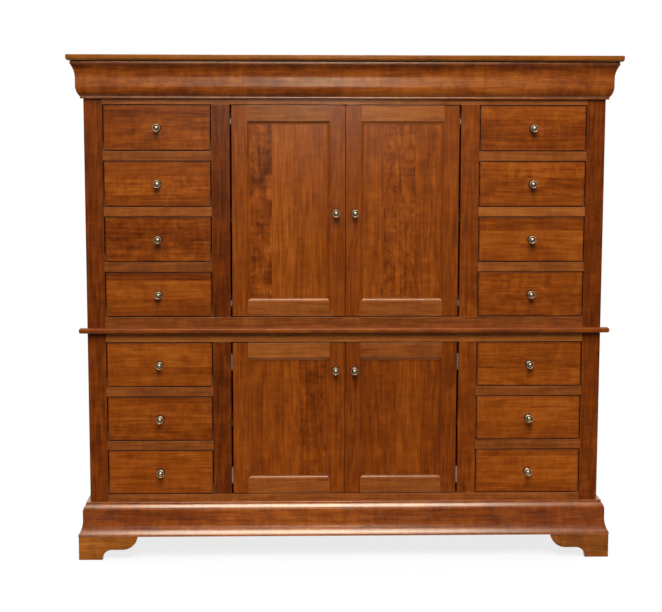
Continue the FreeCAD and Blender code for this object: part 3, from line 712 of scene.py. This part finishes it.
def ogeeProfile(look):
    # upwards: a foot, an arc to the belly, an arc to the neck and a head, with the four arrises rounded
    footOut, footTop = look["foot"]
    belly, flare, straight = look["belly"]
    headOut, headHeight = look["head"]
    bellyFoot = (belly, footTop + flare)
    bellyHead = (belly, bellyFoot[1] + straight)
    neck = (look["neck"][0], bellyHead[1] + look["neck"][1])
    top = neck[1] + headHeight
    footLow, footHigh, headLow, headHigh = look["rounds"]

    def rounded(out, height, radius, *turn):
        return roundOver((out - radius, height), radius, *turn)

    points = [(0, 0)] + rounded(footOut, footLow[0], *footLow)
    points += rounded(footOut, footTop - footHigh[0], *footHigh)
    points += arcPoints(bellyFoot, (footOut - look["footStep"], footTop), look["steps"])
    points += arcPoints(bellyHead, neck, look["steps"])[::-1]
    points += rounded(headOut, neck[1] + look["headLift"], *headLow)
    points += rounded(headOut, top - headHigh[0], *headHigh)
    return points + [(0, top)]


# rounds: (radius, first degree, last degree, steps); tone by mm: drift of the tone along the length, how far
# that holds at each height, and painted shade and painted light by height: darker up the crown's cove under
# the fillet, lighter on the base's flare and shoulder, which face up into the key lamp
mouldingLooks = {
    "crown_moulding": {
        "foot": (9.5, 6.5), "belly": (22.3, 33.5, 24.0), "neck": (34.7, 42.0), "head": (36.2, 13.0),
        "rounds": [(2.0, -90, 0, 4), (2.0, 0, 60, 4), (3.0, -60, 0, 4), (6.5, 0, 85, 9)],
        "footStep": 0.0, "headLift": 3.5, "steps": 14, "tone": 0.47, "mottle": 1.2, "wood": mouldingCherry,
        "drift": [(-860, 0.0), (-330, 0.0), (-130, -0.09), (190, 0.15), (470, 0.14), (720, 0.02)],
        "driftAt": [(64, 1.0), (90, 0.0)],
        # painted shade: darker on the bead's underside and up the cove towards the fillet, where the overhang
        # keeps the light off
        "hollow": [(6, -0.06), (42, -0.02), (56, 0.0), (64, 0.0), (80, -0.04), (92, -0.07), (102, -0.16),
                   (106, -0.20), (109, -0.1), (119, 0.0)]},
    "base_moulding": {
        "foot": (37.0, 8.5), "belly": (23.2, 44.0, 27.5), "neck": (11.5, 25.5), "head": (13.5, 4.5),
        "rounds": [(1.5, -90, 0, 3), (2.5, 0, 50, 4), (1.5, -90, 0, 3), (1.5, 0, 90, 3)],
        "footStep": 1.0, "headLift": 1.5, "steps": 16, "tone": 0.40, "mottle": 1.0, "wood": baseCherry,
        "drift": [(-860, -0.07), (-560, -0.04), (-400, 0.05), (-60, 0.09), (150, 0.0), (450, -0.06),
                  (860, -0.07)],
        "driftAt": [(0, 1.0), (110, 1.0)],
        # painted light: lighter on the flare and the shoulder, which face up into the key lamp
        "hollow": [(8, 0.06), (30, 0.0), (80, 0.0), (100, 0.07)]},
}
for node, look in mouldingLooks.items():
    boards = mouldingBoards(ogeeProfile(look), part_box(node)[0].z, look)
    settle(boardPiece(node + "_wood", boards, look["wood"]), node)


# top board and waist strip: rounded on the front and both ends, square at the rear
def slabFaces(profile, base, rear):
    rings = []
    for p, h in profile:
        x, y = halfWidth + p * mm, frontY - p * mm
        corners = [(-x, rear), (-x, y), (x, y), (x, rear)]
        rings.append([packedCorner((*corner, base + h * mm)) for corner in corners])
    faces = [rings[0], rings[-1][::-1]]
    for lower, upper in zip(rings, rings[1:]):
        for side in range(3):
            faces.append([lower[side + 1], lower[side], upper[side], upper[side + 1]])
    faces.append([ring[0] for ring in rings] + [ring[3] for ring in reversed(rings)])
    return faces


slabLook = {
    "top_board": {"overhang": 47.5, "thickness": 19.5, "lower": 9.0, "upper": 2.5, "rear": backY,
                  "tone": 0.38, "strips": 5, "mottle": 0.6, "spread": 0.03, "wood": topCherry},
    "waist_board": {"overhang": 24.5, "thickness": 16.0, "lower": 6.5, "upper": 4.5, "rear": frontY,
                    "tone": 0.41, "strips": 1, "mottle": 0.6, "spread": 0.03, "wood": satinCherry},
}
for node, look in slabLook.items():
    out = look["overhang"]
    profile = roundOver((out - look["lower"], look["lower"]), look["lower"], -90, 0, 8)
    profile += roundOver((out - look["upper"], look["thickness"] - look["upper"]), look["upper"], 0, 90, 6)
    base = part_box(node)[1].z - look["thickness"] * mm
    boards = [newBoard(slabFaces(profile, base, look["rear"]))]
    if look["rear"] < backY:                   # the board between the cases, flush behind its strip
        boards.append(newBoard(slabFaces([(0, 0), (0, look["thickness"])], base, backY)))
    for board in boards:
        board.update(grain=0, strips=gluedStrips(node, look))
    settle(boardPiece(node + "_wood", boards, look["wood"]), node)
print("mouldings, top and waist made")


# turned and pressed metal
def turnedMesh(bm, profile, place, steps, recessMark):
    # profile: (radius, along, recess) in mm; place maps (across, up, along) in metres to the part
    rings = []
    for radius, along, recess in profile:
        count = 1 if radius == 0 else steps
        ring = []
        for step in range(count):
            turn = 2 * math.pi * step / steps
            vert = bm.verts.new(place(radius * mm * math.cos(turn), radius * mm * math.sin(turn), along * mm))
            vert[recessMark] = recess
            ring.append(vert)
        rings.append(ring)
    for lower, upper in zip(rings, rings[1:]):
        for step in range(steps):
            after = (step + 1) % steps
            corners = [lower[step % len(lower)], lower[after % len(lower)],
                       upper[after % len(upper)], upper[step % len(upper)]]
            bm.faces.new(list(dict.fromkeys(corners)))


def metalPiece(name, bm, material):
    bmesh.ops.recalc_face_normals(bm, faces=bm.faces)
    return smoothPiece(name, bm, material)


# knobs: back plate, waisted neck and a dished head with a raised ring and a domed boss
knobLook = {
    # recess, the share of the dark colour: painted shade on the plate, the neck and the underside of the
    # head, which the head shades; patina in the dish between ring and boss
    "plate": [(0, 0, 1), (13.5, 0, 1), (13.5, 0.9, 1), (13.2, 1.9, 0.95), (12.0, 2.4, 1), (11.2, 2.0, 1),
              (10.6, 2.3, 1)],
    "neck": [(7.4, 3.7, 0.2), (5.3, 4.9, 0.6), (4.6, 7.0, 0.5), (4.6, 12.5, 0.4), (5.4, 15.2, 0.5)],
    "head": [(8.6, 19.4, 0.6), (11.6, 22.6, 0.4), (12.4, 24.3, 0.1), (12.2, 26.1, 0), (11.2, 27.3, 0),
             (10.2, 27.2, 0), (9.3, 25.9, 0.9), (8.4, 24.8, 1.0), (7.2, 24.7, 1.0), (6.4, 25.6, 0.5),
             (5.6, 26.7, 0), (3.6, 27.8, 0), (1.8, 28.1, 0), (0, 28.2, 0)],
    "steps": 20, "soften": 2,
}


def knobPiece(node):
    low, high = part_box(node)
    middle = (low + high) / 2
    bm = bmesh.new()
    recess = bm.verts.layers.float.new("recess")
    profile = knobLook["plate"] + knobLook["neck"] + knobLook["head"]
    turnedMesh(bm, profile, lambda a, b, out: Vector((middle.x + a, frontY - out, middle.z + b)),
               knobLook["steps"], recess)
    piece = metalPiece(node + "_turned", bm, pewter)
    smooth = piece.modifiers.new("soften", "SUBSURF")
    smooth.levels = smooth.render_levels = knobLook["soften"]
    settle(piece, node)


for node in sorted(frame["nodes"]):
    if "_knob" in node:
        knobPiece(node)
print("knobs made")


def metalBlock(bm, low, high, radius, recessMark, edgeMark, recess=0.0):
    made = bmesh.ops.create_cube(bm, size=1.0)
    for vert in made["verts"]:
        vert.co = Vector([low[i] + (vert.co[i] + 0.5) * (high[i] - low[i]) for i in range(3)])
        vert[recessMark] = recess
    edges = list({edge for vert in made["verts"] for edge in vert.link_edges})
    roundEdges(bm, edges, radius, boardRules["easeSteps"], edgeMark)


# butt hinges: two leaves, three knuckles, a pin with button tips and countersunk screws
hingeDims = {
    "upper": {"barrel": 14.0, "tip": 1.5, "rise": 43.0, "drop": 50.0},
    "lower": {"barrel": 40.0, "tip": 6.5, "rise": 61.0, "drop": 62.0},
    "height": 50.0, "leaf": 1.4, "depth": 17.0, "corner": 0.25, "reach": 3.0, "leafTarnish": 0.9,
    "radius": 2.7, "gap": 0.3, "ease": 0.4, "curl": 0.2, "pin": 1.2, "neck": 1.0, "tipRadius": 2.4,
    "screw": 2.6, "screwProud": 0.15, "screwIn": 10.5, "screwSpread": 17.0,
    "knuckleSteps": 24, "tipSteps": 20, "screwSteps": 16,
}


def hingeLeaf(bm, axisX, side, middleZ, size, onDoor, marks):
    # side is -1 for a left-hand door; the frame leaf carries the outer knuckles and the pin
    dims = hingeDims
    facing = side if onDoor else -side                   # which way from the axis the leaf's wood is
    wood = axisX - facing * dims["reach"] * mm
    inner = wood + facing * dims["leaf"] * mm
    x0, x1 = sorted((wood, inner))
    behind = dims["radius"] + dims["gap"]
    half = dims["height"] / 2 * mm
    # the leaves sit deep in the gap and are darkened as painted shade
    metalBlock(bm, (x0, frontY + behind * mm, middleZ - half),
               (x1, frontY + dims["depth"] * mm, middleZ + half),
               dims["corner"] * mm, *marks, dims["leafTarnish"])
    end = size["barrel"] / 2
    knuckle = (size["barrel"] - 2 * dims["gap"]) / 3
    spans = [(-knuckle / 2, knuckle / 2)] if onDoor else [(-end, knuckle - end), (end - knuckle, end)]
    r, soft, curl = dims["radius"], dims["ease"], dims["curl"]

    def upright(a, b, along):
        return Vector((axisX + a, frontY + b, middleZ + along))

    for z0, z1 in spans:
        profile = [(0, z0, 0.6), (r - soft, z0, 0.6), (r, z0 + soft, 0), (r, z1 - soft, 0),
                   (r - soft, z1, 0.6), (0, z1, 0.6)]
        turnedMesh(bm, profile, upright, dims["knuckleSteps"], marks[0])
        # curl that joins the knuckle to its leaf
        metalBlock(bm, (x0, frontY, middleZ + (z0 + curl) * mm),
                   (x1, frontY + (behind + curl) * mm, middleZ + (z1 - curl) * mm),
                   curl * mm, *marks, dims["leafTarnish"])
    if not onDoor:
        tip, tall, pin = dims["tipRadius"], size["tip"], dims["pin"]
        neckEnd = end + dims["neck"]
        tipEnd = neckEnd + tall
        crown = min(0.7, 0.4 * tall)
        profile = [(0, end - 1, 0.8), (pin, end - 1, 0.8), (pin, neckEnd, 0.8), (tip - soft, neckEnd, 0.5),
                   (tip, neckEnd + 0.3, 0), (tip, tipEnd - crown, 0), (tip - crown, tipEnd - 0.1, 0),
                   (0, tipEnd, 0)]
        for way in (-1, 1):
            turned = [(out, way * z, recess) for out, z, recess in profile]
            turnedMesh(bm, turned, upright, dims["tipSteps"], marks[0])
    screw, proud = dims["screw"], dims["screwProud"]
    profile = [(0, -0.6, 0.4), (screw, -0.6, 0.8), (screw, 0.0, 0.5), (screw * 0.8, proud, 0),
               (0.9, proud, 0.1), (0.45, -0.35, 1.0), (0, -0.35, 1.0)]
    for way in (-1, 0, 1):
        centre = Vector((inner, frontY + dims["screwIn"] * mm, middleZ + way * dims["screwSpread"] * mm))
        turnedMesh(bm, profile, lambda a, b, out: centre + Vector((facing * out, a, b)),
                   dims["screwSteps"], marks[0])


def startMetal():
    bm = bmesh.new()
    return bm, (bm.verts.layers.float.new("recess"), bm.loops.layers.float.new("edge"))


strikeLook = {"corner": 0.3, "spread": 8.5, "steps": 14, "screw": [
    (0, -0.4, 0.4), (1.9, -0.4, 0.8), (1.9, 0.1, 0.2), (0.7, 0.3, 0), (0.35, -0.1, 1), (0, -0.1, 1)]}
frameMetal, frameMarks = startMetal()
for case in ("upper", "lower"):
    size = hingeDims[case]
    for side, way in (("left", -1), ("right", 1)):
        node = case + "_" + side + "_door"
        low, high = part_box(node)
        axisX = next(joint["pos_m"][0] for joint in frame["joints"] if joint["child"] == bodyOf[node])
        bm, marks = startMetal()
        for middleZ in (low.z + size["rise"] * mm, high.z - size["drop"] * mm):
            hingeLeaf(bm, axisX, way, middleZ, size, True, marks)
            hingeLeaf(frameMetal, axisX, way, middleZ, size, False, frameMarks)
        strike = boardsOf(node + "_hardware")[-1]
        metalBlock(bm, strike["low"], strike["high"], strikeLook["corner"] * mm, *marks)
        middle = (strike["low"] + strike["high"]) / 2
        for offset in (-1, 1):
            centre = Vector((middle.x + offset * strikeLook["spread"] * mm, strike["high"].y, middle.z))
            turnedMesh(bm, strikeLook["screw"], lambda a, b, out: centre + Vector((a, out, b)),
                       strikeLook["steps"], marks[0])
        settle(metalPiece(node + "_hardware_metal", bm, hingeMetal), node + "_hardware")
settle(metalPiece("hinge_leaves_metal", frameMetal, hingeMetal), "hinge_leaves")

# door catches: a case with two pole strips that meet the strike plate
catchLook = {"corner": 1.2, "strips": (0.14, 0.31), "inset": 4.0, "proud": 0.2, "deep": 2.0, "tall": 1.6,
             "stripCorner": 0.15}
bm, marks = startMetal()
for block in boardsOf("door_catches"):
    low, high = block["low"], block["high"]
    metalBlock(bm, low, high, catchLook["corner"] * mm, *marks)
    inset = catchLook["inset"] * mm
    for share in catchLook["strips"]:
        z = low.z + share * (high.z - low.z)
        metalBlock(bm, (low.x + inset, low.y - catchLook["proud"] * mm, z),
                   (high.x - inset, low.y + catchLook["deep"] * mm, z + catchLook["tall"] * mm),
                   catchLook["stripCorner"] * mm, *marks)
settle(metalPiece("door_catches_metal", bm, hingeMetal), "door_catches")
print("hinges and catches made")

# floor, light and camera
stageLook = {"floor": (0.86, 0.855, 0.845), "cloud": 0.985, "cloudScale": 1.5, "roughness": 0.85,
             "shine": 0.1, "paper": 0.8, "footprint": (0.87, 0.30, 0.0), "fade": (0.02, 0.32),
             "sheet": (1.75, 1.05), "nearEdge": -0.62, "level": -0.0005}


def eyeAndMirror(tree):
    path = put(tree, "ShaderNodeLightPath").outputs
    return path["Is Camera Ray"], calc(tree, "MAXIMUM", path["Is Glossy Ray"], path["Is Transmission Ray"])


def makeFloor():
    material, tree, surface = startMaterial("paleFloor")
    place = put(tree, "ShaderNodeTexCoord").outputs["Object"]
    clouds = noise(tree, place, stageLook["cloudScale"], 3.0)
    colour = stageLook["floor"]
    shade = tuple(c * stageLook["cloud"] for c in colour)
    tree.links.new(blendColour(tree, clouds, (*shade, 1.0), (*colour, 1.0)), surface.inputs["Base Color"])
    surface.inputs["Roughness"].default_value = stageLook["roughness"]
    surface.inputs["Specular IOR Level"].default_value = stageLook["shine"]
    # the paper under the case reads white to the camera and in reflections, and keeps part of the shadow
    seen = calc(tree, "MAXIMUM", *eyeAndMirror(tree))
    white = put(tree, "ShaderNodeEmission", {"Color": (1, 1, 1, 1), "Strength": 1.0})
    outward = vectorCalc(tree, "SUBTRACT", vectorCalc(tree, "ABSOLUTE", place), stageLook["footprint"])
    distance = vectorCalc(tree, "LENGTH", vectorCalc(tree, "MAXIMUM", outward), output="Value")
    paper = fromTo(tree, distance, *stageLook["fade"], stageLook["paper"], 1.0)
    mixed = put(tree, "ShaderNodeMixShader", {0: calc(tree, "MULTIPLY", seen, paper),
                                              1: surface.outputs[0], 2: white.outputs[0]})
    tree.links.new(mixed.outputs[0], tree.nodes["Material Output"].inputs[0])
    bm = bmesh.new()
    side, far = stageLook["sheet"]
    corners = [(-side, stageLook["nearEdge"]), (side, stageLook["nearEdge"]), (side, far), (-side, far)]
    bm.faces.new([bm.verts.new((x, y, stageLook["level"])) for x, y in corners])
    smoothPiece("floor", bm, material)


makeFloor()
lightLook = {
    "key": {"at": (-0.02, -4.6, 5.2), "to": (0, -0.25, 0.17), "size": (2.6, 4.0), "watts": 465.0},
    "wash": {"at": (-0.395, -5.6, 1.72), "to": (-0.2, -0.25, 1.6), "size": (1.63, 0.44), "watts": 4.65},
    "glint": {"at": (0.18, -5.6, 1.73), "to": (0.05, -0.25, 1.55), "size": (0.7, 0.28), "watts": 6.8},
    "over": {"at": (0.0, 0.6, 3.6), "to": (0, 0.0, 0.0), "size": (3.0, 2.0), "watts": 40.0},
    "left": {"at": (-3.6, 0.0, 2.6), "to": (0, 0.0, 0.8), "size": (2.8, 2.8), "watts": 34.0},
    "right": {"at": (3.6, 0.0, 2.6), "to": (0, 0.0, 0.8), "size": (2.8, 2.8), "watts": 34.0},
    "rear": {"at": (0.0, 3.6, 5.2), "to": (0, 0.3, 0.8), "size": (3.0, 3.0), "watts": 165.0},
}
for name, look in lightLook.items():
    lamp = bpy.data.lights.new(name, "AREA")
    lamp.shape = "RECTANGLE"
    lamp.size, lamp.size_y = look["size"]
    lamp.energy = look["watts"]
    holder = bpy.data.objects.new(name, lamp)
    holder.location = look["at"]
    holder.rotation_euler = (Vector(look["to"]) - Vector(look["at"])).to_track_quat("-Z", "Y").to_euler()
    bpy.context.scene.collection.objects.link(holder)

worldLook = {"fill": (0.97, 0.98, 1.0), "rise": (0.0, 0.9), "strength": (0.04, 0.42), "rear": (-0.05, 0.25)}
world = bpy.data.worlds.new("studio")
bpy.context.scene.world = world
world.use_nodes = True
sky = world.node_tree
sky.nodes.clear()
way = put(sky, "ShaderNodeSeparateXYZ", {0: put(sky, "ShaderNodeTexCoord").outputs["Generated"]}).outputs
fill = put(sky, "ShaderNodeBackground", {
    "Color": (*worldLook["fill"], 1.0),
    "Strength": fromTo(sky, way[2], *worldLook["rise"], *worldLook["strength"])})
white = put(sky, "ShaderNodeBackground", {"Color": (1, 1, 1, 1), "Strength": 1.0})
eye, mirrored = eyeAndMirror(sky)
# mirrored, the room is white behind the case
backdrop = calc(sky, "MULTIPLY", mirrored, fromTo(sky, way[1], *worldLook["rear"]))
seen = calc(sky, "MAXIMUM", eye, backdrop)
mixed = put(sky, "ShaderNodeMixShader", {0: seen, 1: fill.outputs[0], 2: white.outputs[0]})
put(sky, "ShaderNodeOutputWorld", {0: mixed.outputs[0]})

cameraLook = {"at": (-0.18267, -5.04385, 1.4296), "yaw": 1.633, "pitch": 7.120, "roll": -0.1043,
              "focalPixels": 1494.77, "frame": (662, 612)}
yaw, pitch, roll = (math.radians(cameraLook[key]) for key in ("yaw", "pitch", "roll"))
ahead = Vector((math.sin(yaw) * math.cos(pitch), math.cos(yaw) * math.cos(pitch), -math.sin(pitch)))
rightward = Vector((math.cos(yaw), -math.sin(yaw), 0))
down = ahead.cross(rightward)
imageRight = math.cos(roll) * rightward + math.sin(roll) * down
imageDown = math.cos(roll) * down - math.sin(roll) * rightward
lens = bpy.data.cameras.new("photoCamera")
lens.sensor_fit = "HORIZONTAL"
lens.sensor_width = 36.0
lens.lens = cameraLook["focalPixels"] / cameraLook["frame"][0] * lens.sensor_width
viewer = bpy.data.objects.new("photoCamera", lens)
turn = Matrix((imageRight, -imageDown, -ahead)).transposed()
viewer.matrix_world = Matrix.Translation(cameraLook["at"]) @ turn.to_4x4()
bpy.context.scene.collection.objects.link(viewer)
bpy.context.scene.camera = viewer
bpy.context.scene.view_settings.view_transform = "Standard"
print("stage, lights and camera made")
